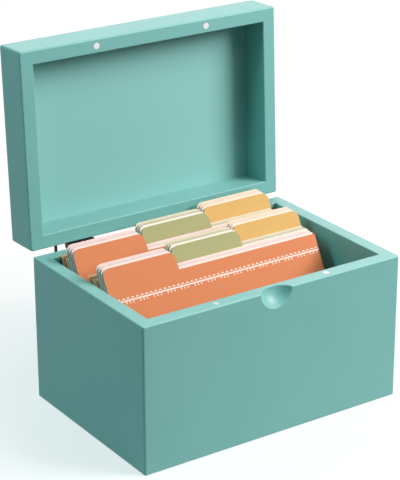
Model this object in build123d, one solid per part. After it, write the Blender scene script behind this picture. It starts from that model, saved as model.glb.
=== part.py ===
from build123d import *
import os
from math import cos, radians, sin

# Recipe card box: a painted wooden case with a hinged lid, made for 4 by 6 inch cards, and the
# tabbed dividers that lean back inside it.
# Millimetres. X runs to the right, +Y to the back, +Z up. The origin is the centre of the underside.

# ---- Dividers: the case is sized round them ---------------------------------------------------
sheet_width = 150.0
sheet_height = 99.4         # to the edge beside the tab
sheet_thickness = 0.5
tab_rise = 10.9
tab_corner = 4.4
tab_draft = 0.8             # how far each free side of a tab leans inwards
liner_rise = 0.5            # each pale liner stands this much taller than the sheet before it
liner_shift = 0.4           # and lies this much further to the left
liners_per_set = 3
foot_clearance = 0.3        # lowest edge to the bottom panel
left_room = 3.6             # left wall to a coloured sheet that hasn't slid
right_room = 10.8           # and such a sheet to the right wall
slides = {"front": [0.1, 1.1, 0.3], "back": [1.0, 2.8, 3.3]}    # how far each set has slid right
lean_angle = 27.7           # of every sheet, from upright
front_room = 3.1            # front wall to the foot of the front group's first sheet
front_pitch = 1.7           # from foot to foot
back_pitch = 1.79
rest_gap = 0.3              # last sheet of all to the back wall's rounded edge, which it leans on
rim_drop = 10.4             # the edge beside the tab of an upright sheet stands this far above the rim
colours = ["orange", "green", "yellow"]      # from front to back, and from left tab to right tab

# ---- Case and lid ---------------------------------------------------------------------------
case_depth = 122.7
wall = 8.8                  # boards of the body and rails of the lid
lid_height = 24.1
closed_gap = 0.3            # between rim and lid when the lid is shut
corner_round = 1.4          # upright corners
edge_round = 1.0            # outer edges of the rim and of the lid
foot_chamfer = 0.6          # outer edges of the underside
inner_round = 0.6           # inner edges of the rims
bottom_thickness = 3.6      # let in flush with the underside
lid_panel_thickness = 4.4
rebate_width = 4.0          # how far the two panels reach into the boards
open_angle = 92.3           # the lid leans back a little past upright

# ---- Finger scoop in the front rim --------------------------------------------------------------
scoop_radius = 12.3         # ball of the cutter
scoop_setback = 5.6         # centre of the cutter in front of the front face
scoop_chamfer = 0.4

# ---- Magnets ------------------------------------------------------------------------------------
magnet_diameter = 4.6
magnet_thickness = 3.0
magnet_side_inset = 51.9    # from the case's end to the magnet's centre, midway across the rim

# ---- Hinges ---------------------------------------------------------------------------------------
hinge_inset = 33.9          # from the case's end to the middle of the hinge
hinge_length = 19.0
leaf_thickness = 0.9
leaf_height = 14.0          # from the pin down, or up, to the leaf's free edge
leaf_corner = 2.0
knuckle_radius = 1.7
knuckle_gap = 0.15          # end play between knuckles
barrel_clearance = 0.08     # barrel to wood
pin_radius = 0.8
pin_clearance = 0.05
pivot_rise = 0.8            # pin axis above the rim
relief = 0.25               # leaf edge to the other leaf's knuckle
stop_reach = 7.7            # from the barrel's end to the stop's outer side
stop_width = 1.4
stop_depth = 1.3
stop_clearance = 0.1        # tip of the stop to the back of the opened lid
arm_height = 4.0
arm_drop = 4.5              # pin axis to the top of the stop's arm

# ---- Hinge screws -----------------------------------------------------------------------------------
screw_spacing = 11.0
screw_drop = 9.0            # pin axis to the screws
screw_head_radius = 1.9
screw_shank_radius = 1.0
screw_length = 6.5          # head included

# ---- Worked out --------------------------------------------------------------------------------------
inner_width = left_room + sheet_width + right_room
inner_depth = case_depth - 2 * wall
case_width = inner_width + 2 * wall
half_width = case_width / 2
half_depth = case_depth / 2
panel_width = inner_width + 2 * rebate_width        # of the bottom and of the lid's panel
panel_depth = inner_depth + 2 * rebate_width
body_height = bottom_thickness + sheet_height - rim_drop
lid_rim = body_height + closed_gap
lid_top = lid_rim + lid_height
lid_ceiling = lid_top - lid_panel_thickness
pivot_y = half_depth + barrel_clearance + knuckle_radius
pivot_z = body_height + pivot_rise
hinge_axis = Axis((0, pivot_y, pivot_z), (1, 0, 0))
hinge_centre = half_width - hinge_inset
magnet_offset = half_width - magnet_side_inset
sheets_per_set = 1 + liners_per_set
sides = {"left": -1, "right": 1}

# A sheet's foot is its front lower edge. The last sheet of all leans on the back wall's inner edge.
lean = radians(lean_angle)
foot_z = bottom_thickness + foot_clearance + sheet_thickness * sin(lean)
rise = body_height - inner_round - foot_z
run = (rise * sin(lean) + sheet_thickness + inner_round + rest_gap) / cos(lean)
last_foot = inner_depth / 2 + inner_round - run
last_sheet = sheets_per_set * len(colours) - 1
groups = {
    "front": (front_room - inner_depth / 2, front_pitch),
    "back": (last_foot - last_sheet * back_pitch, back_pitch),
}

os.makedirs("parts", exist_ok=True)


def save(shape, name):
    export_step(shape, f"parts/{name}.step")


def block(x_size, y_size, z_low, z_high, y_centre=0.0):
    """Upright block centred on x = 0, between two levels."""
    return Pos(0, y_centre, z_low) * Box(
        x_size, y_size, z_high - z_low, align=(Align.CENTER, Align.CENTER, Align.MIN)
    )


def frame(z_low, z_high):
    """The four boards as one frame, before they are rounded."""
    return block(case_width, case_depth, z_low, z_high) - block(inner_width, inner_depth, z_low, z_high)


def corner_edges(shape):
    """The frame's four outer upright edges."""
    return shape.edges().filter_by(Axis.Z).filter_by(lambda e: abs(e.center().X) > half_width - wall / 2)


def outer_edges(shape, level):
    """The outer edges of a frame at one level, round its corners and across the scoop's mouth."""
    x_least = half_width - corner_round
    y_least = half_depth - corner_round
    at_level = shape.edges().filter_by_position(Axis.Z, level - 0.01, level + 0.01)
    return at_level.filter_by(lambda e: abs(e.center().X) > x_least or abs(e.center().Y) > y_least)


def inner_edges(shape, level):
    """The straight inner edges of a frame at one level."""
    x_most = inner_width / 2 + 0.01
    y_most = inner_depth / 2 + 0.01
    at_level = shape.edges().filter_by_position(Axis.Z, level - 0.01, level + 0.01)
    return at_level.filter_by(lambda e: abs(e.center().X) < x_most and abs(e.center().Y) < y_most)


def mitred_board(side):
    """The space that one board fills between its two mitres, over any height used here."""
    ends = {
        "front": [(-half_width, -half_depth), (half_width, -half_depth)],
        "right": [(half_width, -half_depth), (half_width, half_depth)],
        "back": [(half_width, half_depth), (-half_width, half_depth)],
        "left": [(-half_width, half_depth), (-half_width, -half_depth)],
    }[side]
    inward = [(x - wall * (1 if x > 0 else -1), y - wall * (1 if y > 0 else -1)) for x, y in reversed(ends)]
    return extrude(make_face(Polyline(*ends, *inward, close=True)), lid_top)


def opened(shape):
    """Swings a piece of the lid from its shut place to where it rests open."""
    return shape.rotate(hinge_axis, -open_angle)


# ---- Body of the case: four mitred boards -----------------------------------------------------------
body = fillet(corner_edges(frame(0, body_height)), corner_round)
body -= Pos(0, -half_depth - scoop_setback, body_height) * Sphere(scoop_radius)
body -= block(panel_width, panel_depth, 0, bottom_thickness)
body = fillet(outer_edges(body, body_height), edge_round)
body = chamfer(outer_edges(body, 0), foot_chamfer)
body = fillet(inner_edges(body, body_height), inner_round)
scoop = body.faces().filter_by(GeomType.SPHERE)[0]
body = chamfer(scoop.edges(), scoop_chamfer)

magnet_seats = [Pos(side * magnet_offset, wall / 2 - half_depth) for side in (-1, 1)]
magnet = Cylinder(magnet_diameter / 2, magnet_thickness, align=(Align.CENTER, Align.CENTER, Align.MAX))
box_magnets = [seat * Pos(0, 0, body_height) * magnet for seat in magnet_seats]
lid_magnets = [seat * Pos(0, 0, lid_rim + magnet_thickness) * magnet for seat in magnet_seats]

# ---- Countersunk screws, pointing along -Y into the back ----------------------------------------------
head_height = screw_head_radius - screw_shank_radius
screw_profile = Polyline(
    (0, 0),
    (screw_head_radius, 0),
    (screw_shank_radius, -head_height),
    (screw_shank_radius, -screw_length),
    (0, -screw_length),
    close=True,
)
screw = revolve(make_face(Plane.XZ * screw_profile), Axis.Z)
wood_bore = Cylinder(screw_shank_radius, screw_length, align=(Align.CENTER, Align.CENTER, Align.MAX))
face_back = Rot(-90, 0, 0)


def screws_of(x_centre, direction, shape):
    """The two screws of one leaf: direction is -1 below the pin, +1 above it."""
    level = pivot_z + direction * screw_drop
    surface = half_depth + leaf_thickness
    return [
        Pos(x_centre + end * screw_spacing / 2, surface, level) * face_back * shape for end in (-1, 1)
    ]


body_bores = [b for s in sides.values() for b in screws_of(s * hinge_centre, -1, wood_bore)]
lid_bores = [b for s in sides.values() for b in screws_of(s * hinge_centre, 1, wood_bore)]

for side in ("front", "back", "left", "right"):
    board = body & mitred_board(side)
    if side == "front":
        board -= box_magnets
    if side == "back":
        board -= body_bores
    save(board, f"{side}_wall")

save(block(panel_width, panel_depth, 0, bottom_thickness), "bottom_panel")
save(Compound(box_magnets), "box_magnets")
box_screws = [s for side in sides.values() for s in screws_of(side * hinge_centre, -1, screw)]
save(Compound(box_screws), "box_leaf_screws")

# ---- Lid: four mitred rails round a panel -------------------------------------------------------------
lid = fillet(corner_edges(frame(lid_rim, lid_top)), corner_round)
lid -= block(panel_width, panel_depth, lid_ceiling, lid_top)
lid = fillet(outer_edges(lid, lid_rim), edge_round)
lid = fillet(outer_edges(lid, lid_top), edge_round)
lid = fillet(inner_edges(lid, lid_rim), inner_round)

for side in ("front", "back", "left", "right"):
    rail = lid & mitred_board(side)
    if side == "front":
        rail -= lid_magnets
    if side == "back":
        rail -= lid_bores
    save(opened(rail), f"lid_{side}_rail")

save(opened(block(panel_width, panel_depth, lid_ceiling, lid_top)), "lid_panel")
save(opened(Compound(lid_magnets)), "lid_magnets")
lid_screws = [s for side in sides.values() for s in screws_of(side * hinge_centre, 1, screw)]
save(opened(Compound(lid_screws)), "lid_leaf_screws")

# ---- Hinges: a leaf on the case, a leaf on the lid and a pin ------------------------------------------
knuckle_length = (hinge_length - 2 * knuckle_gap) / 3
knuckle_pitch = knuckle_length + knuckle_gap
lay_along_x = Rot(0, 90, 0)


def leaf(x_centre, direction, knuckles):
    """A leaf with its rolled knuckles: direction is -1 below the pin, +1 above it."""
    plate_y = half_depth + leaf_thickness / 2
    near = pivot_z + direction * (knuckle_radius + relief)
    far = pivot_z + direction * leaf_height
    plate = block(hinge_length, leaf_thickness, min(near, far), max(near, far), plate_y)
    corners = plate.edges().filter_by(Axis.Y).filter_by_position(Axis.Z, far - 0.01, far + 0.01)
    shape = Pos(x_centre) * fillet(corners, leaf_corner)
    for number in knuckles:
        place = Pos(x_centre + number * knuckle_pitch)
        root = block(knuckle_length, leaf_thickness, min(near, pivot_z), max(near, pivot_z), plate_y)
        barrel = Pos(0, pivot_y, pivot_z) * lay_along_x * Cylinder(knuckle_radius, knuckle_length)
        shape += place * (root + barrel)
    bore = lay_along_x * Cylinder(pin_radius + pin_clearance, 2 * hinge_length)
    shape -= Pos(x_centre, pivot_y, pivot_z) * bore
    for bored in screws_of(x_centre, direction, screw):
        shape -= bored
    return shape


def lid_stop(x_centre, outward):
    """An arm of the case's leaf, bent back at its end into a narrow post that the open lid rests on."""
    barrel_end = x_centre + outward * hinge_length / 2
    outer_side = barrel_end + outward * stop_reach
    arm_top = pivot_z - arm_drop
    post_back = pivot_y + stop_depth + stop_clearance
    inner_side = outer_side - outward * stop_width
    arm_centre = (barrel_end - outward * leaf_thickness + inner_side) / 2
    arm_length = abs(inner_side - barrel_end) + leaf_thickness
    arm = Pos(arm_centre) * block(
        arm_length, leaf_thickness, arm_top - arm_height, arm_top, half_depth + leaf_thickness / 2
    )
    ear_depth = post_back - half_depth
    post_x = Pos(outer_side - outward * stop_width / 2)
    ear = post_x * block(stop_width, ear_depth, arm_top - arm_height, arm_top, half_depth + ear_depth / 2)
    tip = pivot_z + (pivot_y - half_depth) - stop_clearance
    post = post_x * block(stop_width, stop_depth, arm_top - arm_height, tip, post_back - stop_depth / 2)
    return arm + ear + post


pin = Cylinder(pin_radius, hinge_length)
for side, outward in sides.items():
    x_centre = outward * hinge_centre
    save(leaf(x_centre, -1, (-1, 1)) + lid_stop(x_centre, outward), f"{side}_hinge_box_leaf")
    save(opened(leaf(x_centre, 1, (0,))), f"{side}_hinge_lid_leaf")
    save(Pos(x_centre, pivot_y, pivot_z) * lay_along_x * pin, f"{side}_hinge_pin")

# ---- Dividers -------------------------------------------------------------------------------------------
tab_width = sheet_width / len(colours)


def sheet(tab_number, height):
    """A sheet lying in XY with its lower left corner at the origin, and its tab in one of the thirds."""
    tab_left = tab_number * tab_width
    tab_right = tab_left + tab_width
    tab_top = height + tab_rise
    first = tab_number == 0
    last = tab_number == len(colours) - 1
    outline = [(0, 0), (sheet_width, 0)]
    if last:
        outline += [(sheet_width, tab_top)]
    else:
        outline += [(sheet_width, height), (tab_right, height), (tab_right - tab_draft, tab_top)]
    if first:
        outline += [(0, tab_top)]
    else:
        outline += [(tab_left + tab_draft, tab_top), (tab_left, height), (0, height)]
    face = make_face(Polyline(*outline, close=True))
    tips = face.vertices().filter_by_position(Axis.Y, tab_top - 0.01, tab_top + 0.01)
    return extrude(fillet(tips, tab_corner), -sheet_thickness)


for group, (first_foot, pitch) in groups.items():
    for set_number, colour in enumerate(colours):
        for layer in range(sheets_per_set):
            depth = set_number * sheets_per_set + layer
            slide = slides[group][set_number] - layer * liner_shift
            place = Plane(
                origin=(left_room - inner_width / 2 + slide, first_foot + depth * pitch, foot_z),
                x_dir=(1, 0, 0),
                z_dir=(0, -cos(lean), sin(lean)),
            )
            name = f"{group}_{colour}_liner_{layer}" if layer else f"{group}_{colour}_divider"
            save(place * sheet(set_number, sheet_height + layer * liner_rise), name)
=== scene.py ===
import math

import bpy
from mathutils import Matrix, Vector


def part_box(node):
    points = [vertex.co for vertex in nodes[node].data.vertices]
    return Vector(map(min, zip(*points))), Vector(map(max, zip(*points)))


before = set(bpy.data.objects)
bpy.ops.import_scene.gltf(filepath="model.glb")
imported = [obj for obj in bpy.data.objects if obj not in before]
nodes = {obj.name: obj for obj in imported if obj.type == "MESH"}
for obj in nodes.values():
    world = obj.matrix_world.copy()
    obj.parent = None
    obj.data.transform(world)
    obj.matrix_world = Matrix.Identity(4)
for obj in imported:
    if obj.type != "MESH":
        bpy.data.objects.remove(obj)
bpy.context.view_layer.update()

# ---- The painted case and lid ---------------------------------------------------------------
# Mitred boards of medium-density fibreboard, glued, sanded and sprayed with a satin water-based
# paint. It lies over every joint, so no seam shows, only a fine orange peel. The case's rim has a
# paler paint as a painted sheen, and the two panels are a little paler inside as painted light.


class Socket:
    """An output of a node, with Python's operators for its shader maths."""

    def __init__(self, finish, socket):
        self.finish = finish
        self.socket = socket

    def maths(self, operation, *values):
        return self.finish.node("Math", {"operation": operation}, dict(enumerate(values)))

    def __add__(self, other):
        return self.maths("ADD", self, other)

    def __sub__(self, other):
        return self.maths("SUBTRACT", self, other)

    def __rsub__(self, other):
        return self.maths("SUBTRACT", other, self)

    def __mul__(self, other):
        return self.maths("MULTIPLY", self, other)

    def __truediv__(self, other):
        return self.maths("DIVIDE", self, other)

    def __mod__(self, other):
        return self.maths("FLOORED_MODULO", self, other)

    def __lt__(self, other):
        return self.maths("LESS_THAN", self, other)

    def __gt__(self, other):
        return self.maths("GREATER_THAN", self, other)

    def __or__(self, other):
        return self.maths("MAXIMUM", self, other)

    def __abs__(self):
        return self.maths("ABSOLUTE", self)

    __radd__ = __add__
    __rmul__ = __mul__


class Finish:
    """A material whose nodes are added one call at a time."""

    def __init__(self, name):
        self.material = bpy.data.materials.new(name)
        self.material.use_nodes = True
        self.tree = self.material.node_tree
        self.shader = self.tree.nodes["Principled BSDF"]

    def fill(self, node, values):
        for key, value in values.items():
            socket = node.inputs[key]
            if isinstance(value, Socket):
                self.tree.links.new(value.socket, socket)
            elif hasattr(socket.default_value, "__len__") and len(socket.default_value) == 4:
                socket.default_value = (*value, 1.0)
            else:
                socket.default_value = value

    def node(self, kind, settings=None, values=None, output=0):
        node = self.tree.nodes.new("ShaderNode" + kind)
        for key, value in (settings or {}).items():
            setattr(node, key, value)
        self.fill(node, values or {})
        return Socket(self, node.outputs[output])

    def place(self):
        """The point on the object, in metres, at rest."""
        return self.node("TexCoord", output="Object")

    def normal(self):
        """The direction that the surface faces, at rest."""
        return self.node("TexCoord", output="Normal")

    def dot(self, vector, direction):
        settings = {"operation": "DOT_PRODUCT"}
        return self.node("VectorMath", settings, {0: vector, 1: direction}, output="Value")

    def noise(self, point, scale, detail=2.0, roughness=0.5):
        values = {"Vector": point, "Scale": scale, "Detail": detail, "Roughness": roughness}
        return self.node("TexNoise", values=values)

    def mix(self, mask, below, above):
        """Colour: below where the mask is 0, above where it is 1."""
        return self.node("Mix", {"data_type": "RGBA"}, {0: mask, 6: below, 7: above}, output=2)

    def remap(self, value, low, high, to_low=0.0, to_high=1.0):
        values = {0: value, 1: low, 2: high, 3: to_low, 4: to_high}
        return self.node("MapRange", {"clamp": True}, values)

    def bump(self, height, distance, strength=0.5):
        values = {"Height": height, "Distance": distance, "Strength": strength}
        return self.node("Bump", values=values)

    def surface(self, **values):
        """Fill the shader's inputs, each named by a word in small letters."""
        self.fill(self.shader, {
            key.replace("_", " ").title().replace("Ior", "IOR"): value
            for key, value in values.items()
        })

    def put_on(self, *names):
        for name in names:
            slots = nodes[name].data.materials
            slots.clear()
            slots.append(self.material)


def srgb(red, green, blue):
    """A colour as a paint chart gives it, 0 to 255, in the renderer's linear light."""
    parts = [channel / 255 for channel in (red, green, blue)]
    return tuple(p / 12.92 if p <= 0.04045 else ((p + 0.055) / 1.055) ** 2.4 for p in parts)


PAINT = srgb(116, 178, 173)
THIN_PAINT = srgb(122, 183, 178)
# a paler paint on the panels' inner faces: painted light, for light falling into the open lid
INSIDE_PAINTED_LIGHT = srgb(136, 195, 190)
# a paler paint on the case's rim: a painted sheen, where the up-facing rim catches the light
RIM_SHEEN_PAINT = srgb(134, 183, 178)
RIM_LOW, RIM_HIGH = 0.0924, 0.0928      # the case's rim lies between these heights
CLOUD_SCALE = 28                        # every scale of a noise is in repeats to the metre
CLOUD_RANGE = (0.3, 0.7)
CLOUD_STRENGTH = 0.5
BRUSH_SCALE = 90
PEEL_SCALE = 950
PEEL_HEIGHT = 0.00004
FACING = 0.5                            # cosine, above which a face looks in a direction
SIDES = ("front", "back", "left", "right")


def painted(name, boards, painted_light_paint=None, painted_light_place=None):
    """Satin orange-peel paint, thinner here and there, and paler in one place as painted light."""
    paint = Finish(name)
    point = paint.place()
    cloud = paint.remap(paint.noise(point, CLOUD_SCALE, detail=3), *CLOUD_RANGE)
    peel = paint.noise(point, PEEL_SCALE)
    brushed = paint.noise(point, BRUSH_SCALE, detail=4, roughness=0.6)
    colour = paint.mix(cloud * CLOUD_STRENGTH, PAINT, THIN_PAINT)
    # the paler paint in one place is painted light: a sheen on the rim, or light inside the panels
    if painted_light_place:
        colour = paint.mix(painted_light_place(paint, point), colour, painted_light_paint)
    paint.surface(
        base_color=colour,
        roughness=0.40 + brushed * 0.10,
        specular_ior_level=0.5,
        sheen_weight=0.15,
        sheen_roughness=0.45,
        normal=paint.bump(peel, PEEL_HEIGHT),
    )
    paint.put_on(*boards)


def facing(*direction):
    """The faces of a board that look in one direction."""
    return lambda paint, point: paint.dot(paint.normal(), direction) > FACING


def rim(paint, point):
    """The case's rim, where the paint is paler as a painted sheen."""
    height = paint.dot(point, (0, 0, 1))
    return (height > RIM_LOW) * (height < RIM_HIGH)


painted("satin_paint_of_lid", [f"lid_{side}_rail" for side in SIDES])
painted("satin_paint_of_case", [f"{side}_wall" for side in SIDES], RIM_SHEEN_PAINT, rim)
# painted light: the inner faces of the lid panel and of the bottom take the paler paint
painted("satin_paint_of_lid_panel", ["lid_panel"], INSIDE_PAINTED_LIGHT, facing(0, -1, 0))
painted("satin_paint_of_bottom", ["bottom_panel"], INSIDE_PAINTED_LIGHT, facing(0, 0, 1))

# ---- Magnets --------------------------------------------------------------------------------
# Small nickel-plated discs, pressed into blind seats in both front rims and left bare. A thin
# dark line of shade marks each seat.

MAGNET_RADIUS = 0.0023
SEAT_LINE = 0.00028
SCUFF_SCALE = 700
SCUFF_HEIGHT = 0.00002
NICKEL, NICKEL_WORN, SEAT_SHADE = srgb(206, 210, 208), srgb(228, 230, 228), srgb(120, 142, 138)


def corners(name):
    """The lowest and the highest corner of a node."""
    return [Vector(corner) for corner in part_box(name)]


for name, across in (("box_magnets", (0, 1, 0)), ("lid_magnets", (0, 0, 1))):
    magnet = Finish(name.replace("magnets", "nickel_plate"))
    point = magnet.place()
    low, high = corners(name)
    middle = (low + high) / 2
    spread = high.x - middle.x - MAGNET_RADIUS
    along_row = abs(abs(magnet.dot(point, (1, 0, 0)) - middle.x) - spread)
    off_row = abs(magnet.dot(point, across) - middle.dot(Vector(across)))
    squares = along_row * along_row + off_row * off_row
    seat = squares > (MAGNET_RADIUS - SEAT_LINE) ** 2
    scuff = magnet.noise(point, SCUFF_SCALE, detail=4, roughness=0.7)
    plate = magnet.mix(scuff, NICKEL, NICKEL_WORN)
    magnet.surface(
        base_color=magnet.mix(seat, plate, SEAT_SHADE),
        metallic=0.45,
        roughness=0.34 + scuff * 0.2,
        normal=magnet.bump(scuff, SCUFF_HEIGHT, strength=0.4),
    )
    magnet.put_on(name)

# ---- Hinges and their screws ----------------------------------------------------------------
# Stamped steel leaves with rolled knuckles and a bent stop, in a dark oil-rubbed bronze finish
# that is rubbed thin on the knuckles. The slotted screws have the same finish.

BRONZE = srgb(30, 27, 24)
BRONZE_RUBBED = srgb(70, 58, 46)
SLOT_SHADE = srgb(8, 7, 6)
RUB_SCALE = 420
RUB_RANGE = (0.5, 0.8)
RUB_HEIGHT = 0.00003
LEAF_WEAR, KNUCKLE_WEAR = 0.6, 0.4      # the knuckles wear by both together
KNUCKLE_RADIUS = 0.0018
HINGE_CENTRE = 0.0571                   # from the middle of the box
SCREW_SPACING = 0.011
SLOT_HALF = 0.0003
SLOT_DEPTH = 0.0006
SLOT_TURN = math.radians(24)
LID_TURN = math.radians(92.3)           # of the open lid, from where it is shut


def bronze(name):
    """The finish, with the point that it is drawn at and the mask of its rubbed places."""
    finish = Finish(name)
    point = finish.place()
    patches = finish.noise(point, RUB_SCALE, detail=5, roughness=0.65)
    rubbed = finish.remap(patches, *RUB_RANGE)
    finish.surface(metallic=0.8, roughness=0.46 - rubbed * 0.12)
    return finish, point, rubbed


hinge, point, rubbed = bronze("dark_bronze")
low, high = corners("left_hinge_pin")
pin = (low + high) / 2
rise = hinge.dot(point, (0, 0, 1)) - pin.z
reach = hinge.dot(point, (0, 1, 0)) - pin.y
knuckle = (rise * rise + reach * reach) < KNUCKLE_RADIUS ** 2
wear = rubbed * LEAF_WEAR + knuckle * rubbed * KNUCKLE_WEAR
hinge.surface(
    base_color=hinge.mix(wear, BRONZE, BRONZE_RUBBED),
    normal=hinge.bump(rubbed, RUB_HEIGHT),
)
for side in ("left", "right"):
    hinge.put_on(f"{side}_hinge_box_leaf", f"{side}_hinge_lid_leaf", f"{side}_hinge_pin")

for name, upward in (
    ("box_leaf_screws", (0, 0, 1)),
    ("lid_leaf_screws", (0, math.sin(LID_TURN), math.cos(LID_TURN))),
):
    screw, point, rubbed = bronze(name.replace("leaf_screws", "screw_bronze"))
    low, high = corners(name)
    row = (low + high) / 2
    aside = abs(abs(screw.dot(point, (1, 0, 0))) - HINGE_CENTRE) - SCREW_SPACING / 2
    above = screw.dot(point, upward) - row.dot(Vector(upward))
    slot = abs(aside * math.sin(SLOT_TURN) + above * math.cos(SLOT_TURN)) < SLOT_HALF
    finished = screw.mix(rubbed, BRONZE, BRONZE_RUBBED)
    screw.surface(
        base_color=screw.mix(slot, finished, SLOT_SHADE),
        normal=screw.bump(1 - slot, SLOT_DEPTH, strength=0.8),
    )
    screw.put_on(name)

# ---- Dividers -------------------------------------------------------------------------------
# Die-cut cards printed in a flat colour, the front group's with a row of stitched loops below
# the tabs. Three pale papers stand loose behind each card. Cut edges show the paler core.

LEAN = math.radians(27.7)
UP = (0, math.sin(LEAN), math.cos(LEAN))
OUTWARD = (0, math.cos(LEAN), -math.sin(LEAN))
EDGE_FACING = 0.7                       # cosine, below which a face is a cut edge
GROUPS = ("front", "back")
INKS = {
    "orange": (srgb(204, 113, 61), srgb(214, 124, 72)),
    "green": (srgb(154, 151, 99), srgb(163, 160, 109)),
    "yellow": (srgb(202, 156, 79), srgb(211, 165, 89)),
}
CORES = {
    "orange": srgb(250, 226, 212),
    "green": srgb(238, 236, 210),
    "yellow": srgb(250, 234, 206),
}
PRINT_SCALE = 160
PRINT_RANGE = (0.35, 0.7)
PRINT_STRENGTH = 0.6
FIBRE_SCALE = 1400
FIBRE_HEIGHT = 0.00003

TRIM = srgb(255, 234, 226)
TRIM_STRENGTH = 0.9
TRIM_HEIGHT = 0.0896                    # middle of the line above the foot of the sheet
STITCH_LENGTH = 0.0095                  # one repeat of the pattern
STITCH_START = 0.0042
LINE_HALF = 0.00035
LOOPS = 3                               # in each repeat
LOOP_HEIGHT = 0.0015
LOOP_HALF = 0.00030
LOOP_SHIFT = 0.72
LOOP_INK = 0.45
CREST_WIDTH = 0.40
CREST_HALF = 0.00042
CREST_INK = 0.85
TICK_PLACES = 4                         # in each repeat, one of them beyond TICKS_REACH
TICKS_REACH = 0.36
TICK_WIDTH = 0.20
TICK_DEPTH = 0.0018
KNOT_TOP = 0.00108
THREAD_INK, KNOT_INK = 0.35, 0.75


def cut_edge(finish):
    """Where the surface is the thickness of the sheet."""
    return abs(finish.dot(finish.normal(), OUTWARD)) < EDGE_FACING


def fibres(finish, point):
    """The fine tooth of uncoated card and paper."""
    return finish.bump(finish.noise(point, FIBRE_SCALE, detail=3), FIBRE_HEIGHT)


def trim(finish, point, foot):
    """A stitched line, in each repeat with three loops above it and three ticks below."""
    above = finish.dot(point, UP) - (foot.dot(Vector(UP)) + TRIM_HEIGHT)
    along = (finish.dot(point, (1, 0, 0)) + STITCH_START) / STITCH_LENGTH % 1.0 - 0.5
    line = abs(above) < LINE_HALF
    bow = abs((along * LOOPS + LOOP_SHIFT) % 1.0 - 0.5) * 2
    arch = (1 - bow * bow) * LOOP_HEIGHT
    loop = abs(above - arch) < LOOP_HALF
    crest = (bow < CREST_WIDTH) * (abs(above - LOOP_HEIGHT) < CREST_HALF)
    tick = abs((along * TICK_PLACES + 0.5) % 1.0 - 0.5) < TICK_WIDTH
    tick = tick * (abs(along) < TICKS_REACH) * (above > -TICK_DEPTH)
    thread = tick * (above < 0)
    knot = tick * (above < -KNOT_TOP)
    loops = (loop * LOOP_INK) | (crest * CREST_INK)
    return line | loops | (thread * THREAD_INK) | (knot * KNOT_INK)


def card(colour, group):
    """The printed card of one set."""
    name = f"{group}_{colour}_divider"
    finish = Finish(f"{group}_{colour}_print")
    point = finish.place()
    cloud = finish.noise(point, PRINT_SCALE, detail=4, roughness=0.6)
    mottle = finish.remap(cloud, *PRINT_RANGE)
    printed = finish.mix(mottle * PRINT_STRENGTH, *INKS[colour])
    if group == "front":
        ornament = trim(finish, point, corners(name)[0])
        printed = finish.mix(ornament * TRIM_STRENGTH, printed, TRIM)
    finish.surface(
        base_color=finish.mix(cut_edge(finish), printed, CORES[colour]),
        roughness=0.62 + mottle * 0.1,
        normal=fibres(finish, point),
    )
    finish.put_on(name)


# the papers' own pale tints; each stack's darker middle paper is a painted shade between the
# sheets
PAPER_TINTS_AND_SHADE = {
    "orange": (srgb(238, 213, 204), srgb(214, 184, 181), srgb(230, 200, 191)),
    "green": (srgb(228, 222, 200), srgb(176, 164, 138), srgb(206, 194, 160)),
    "yellow": (srgb(233, 210, 188), srgb(217, 188, 174), srgb(233, 199, 167)),
}
# cream and orange-brown on the green and yellow papers' left ends: painted highlight and shade of
# their stepped tops, in colours warmed against the cool left lamp
SHOULDER_LIGHT_AND_SHADE = (srgb(254, 226, 190), srgb(228, 140, 84), srgb(254, 216, 170))
SHOULDER_RANGE = (-0.062, -0.054)       # across it the papers turn from painted light and shade to plain
PAPER_EDGE = srgb(254, 243, 236)
EDGE_STRENGTH = 0.8
MOTTLE_SCALE = 120
MOTTLE_STRENGTH = 0.3


def liner(colour, number, tint):
    """A plain pale paper behind the card, the same in both groups."""
    finish = Finish(f"{colour}_liner_{number}")
    point = finish.place()
    mottle = finish.noise(point, MOTTLE_SCALE, detail=3)
    faded = finish.mix(mottle * MOTTLE_STRENGTH, tint, PAPER_EDGE)
    paper = finish.mix(cut_edge(finish) * EDGE_STRENGTH, faded, PAPER_EDGE)
    # the left ends of the green and yellow papers take painted highlight and shade
    if colour != "orange":
        across = finish.dot(point, (1, 0, 0))
        painted_shoulder = finish.remap(across, *SHOULDER_RANGE, to_low=1.0, to_high=0.0)
        paper = finish.mix(painted_shoulder, paper, SHOULDER_LIGHT_AND_SHADE[number - 1])
    finish.surface(
        base_color=paper,
        roughness=0.7 + mottle * 0.1,
        normal=fibres(finish, point),
    )
    finish.put_on(*(f"{group}_{colour}_liner_{number}" for group in GROUPS))


for colour, tints in PAPER_TINTS_AND_SHADE.items():
    for group in GROUPS:
        card(colour, group)
    for number, tint in enumerate(tints, 1):
        liner(colour, number, tint)

# ---- Studio ---------------------------------------------------------------------------------
# A pale floor that runs out into a white room. A large soft box stands in front on the right,
# with a small one above the camera, a cool one on the left and two behind, the lower for the rims.

FLOOR_SIZE = 12.0
FLOOR = (0.32, 0.32, 0.32)
FLOOR_GLOW = (0.63, 0.67, 0.67)
FADE_START, FADE_END = 0.12, 0.30       # the floor turns white between these distances
ROOM_LIGHT = 0.12
ROOM_TINT = (0.50, 1.0, 1.0)
BLACK, WHITE = (0, 0, 0), (1, 1, 1)

bpy.ops.mesh.primitive_plane_add(size=FLOOR_SIZE, location=(0, 0, 0))
floor = bpy.context.object
floor.name = "studio_floor"


def seen(finish):
    """Where a ray comes from the camera, from a gloss or through glass."""
    direct, gloss, glass = (
        finish.node("LightPath", output=f"Is {kind} Ray")
        for kind in ("Camera", "Glossy", "Transmission")
    )
    return direct | gloss | glass


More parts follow.
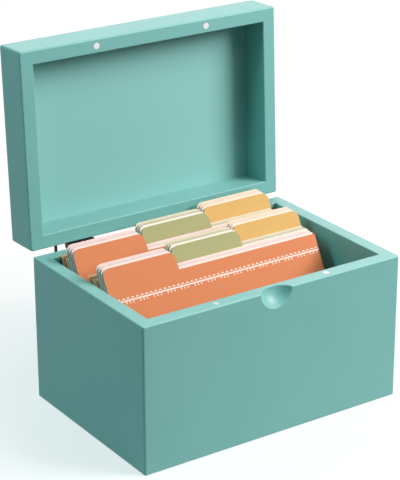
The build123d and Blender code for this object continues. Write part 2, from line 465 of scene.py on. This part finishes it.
pale = Finish("studio_floor")
away = pale.node("VectorMath", {"operation": "LENGTH"}, {0: pale.place()}, output="Value")
far = pale.remap(away, FADE_START, FADE_END)
pale.surface(
    base_color=pale.mix(far, FLOOR, BLACK),
    roughness=0.9,
    specular_ior_level=0.0,
    emission_color=pale.mix(seen(pale), BLACK, pale.mix(far, FLOOR_GLOW, WHITE)),
    emission_strength=1.0,
)
floor.data.materials.append(pale.material)


class Room(Finish):
    """The world, as a finish whose shader is its background."""

    def __init__(self, name):
        self.world = bpy.data.worlds.new(name)
        self.world.use_nodes = True
        self.tree = self.world.node_tree
        self.shader = self.tree.nodes["Background"]


room = Room("studio_room")
bpy.context.scene.world = room.world
dim = tuple(ROOM_LIGHT * part for part in ROOM_TINT)
room.surface(color=room.mix(seen(room), dim, WHITE), strength=1.0)

TARGET = Vector((0, 0, 0.09))           # what the lamps are aimed at


def lamp(name, place, size, power, colour):
    """A soft box of a width and a height in metres and a power in watts."""
    light = bpy.data.lights.new(name, "AREA")
    light.shape = "RECTANGLE"
    light.size, light.size_y = size
    light.energy = power
    light.color = colour
    holder = bpy.data.objects.new(name, light)
    holder.location = place
    holder.rotation_euler = (TARGET - Vector(place)).to_track_quat("-Z", "Y").to_euler()
    bpy.context.collection.objects.link(holder)


lamp("key_lamp", (0.84, -0.76, 0.80), (0.66, 0.54), power=20.6, colour=(1.0, 0.95, 0.94))
lamp("front_lamp", (0.40, -0.50, 1.00), (0.45, 0.35), power=3.6, colour=(1.0, 0.96, 0.94))
lamp("left_lamp", (-1.00, 0.04, 0.92), (0.30, 0.50), power=5.4, colour=(0.48, 0.98, 1.0))
lamp("back_lamp", (0.00, 0.78, 1.25), (0.80, 0.50), power=4.6, colour=(1.0, 0.95, 0.94))
lamp("rim_lamp", (0.80, 1.10, 0.66), (0.90, 0.50), power=1.5, colour=(1.0, 0.90, 0.88))

LENS, SENSOR_WIDTH = 137.134, 36        # in millimetres
CAMERA_PLACE = (-0.57299, -0.83264, 0.51210)
CAMERA_TURN = (1.18631, 0.00345, -0.59467)

camera_data = bpy.data.cameras.new("camera")
camera_data.lens = LENS
camera_data.sensor_width = SENSOR_WIDTH
camera = bpy.data.objects.new("camera", camera_data)
camera.location = CAMERA_PLACE
camera.rotation_euler = CAMERA_TURN
bpy.context.collection.objects.link(camera)
bpy.context.scene.camera = camera
bpy.context.scene.view_settings.view_transform = "Standard"
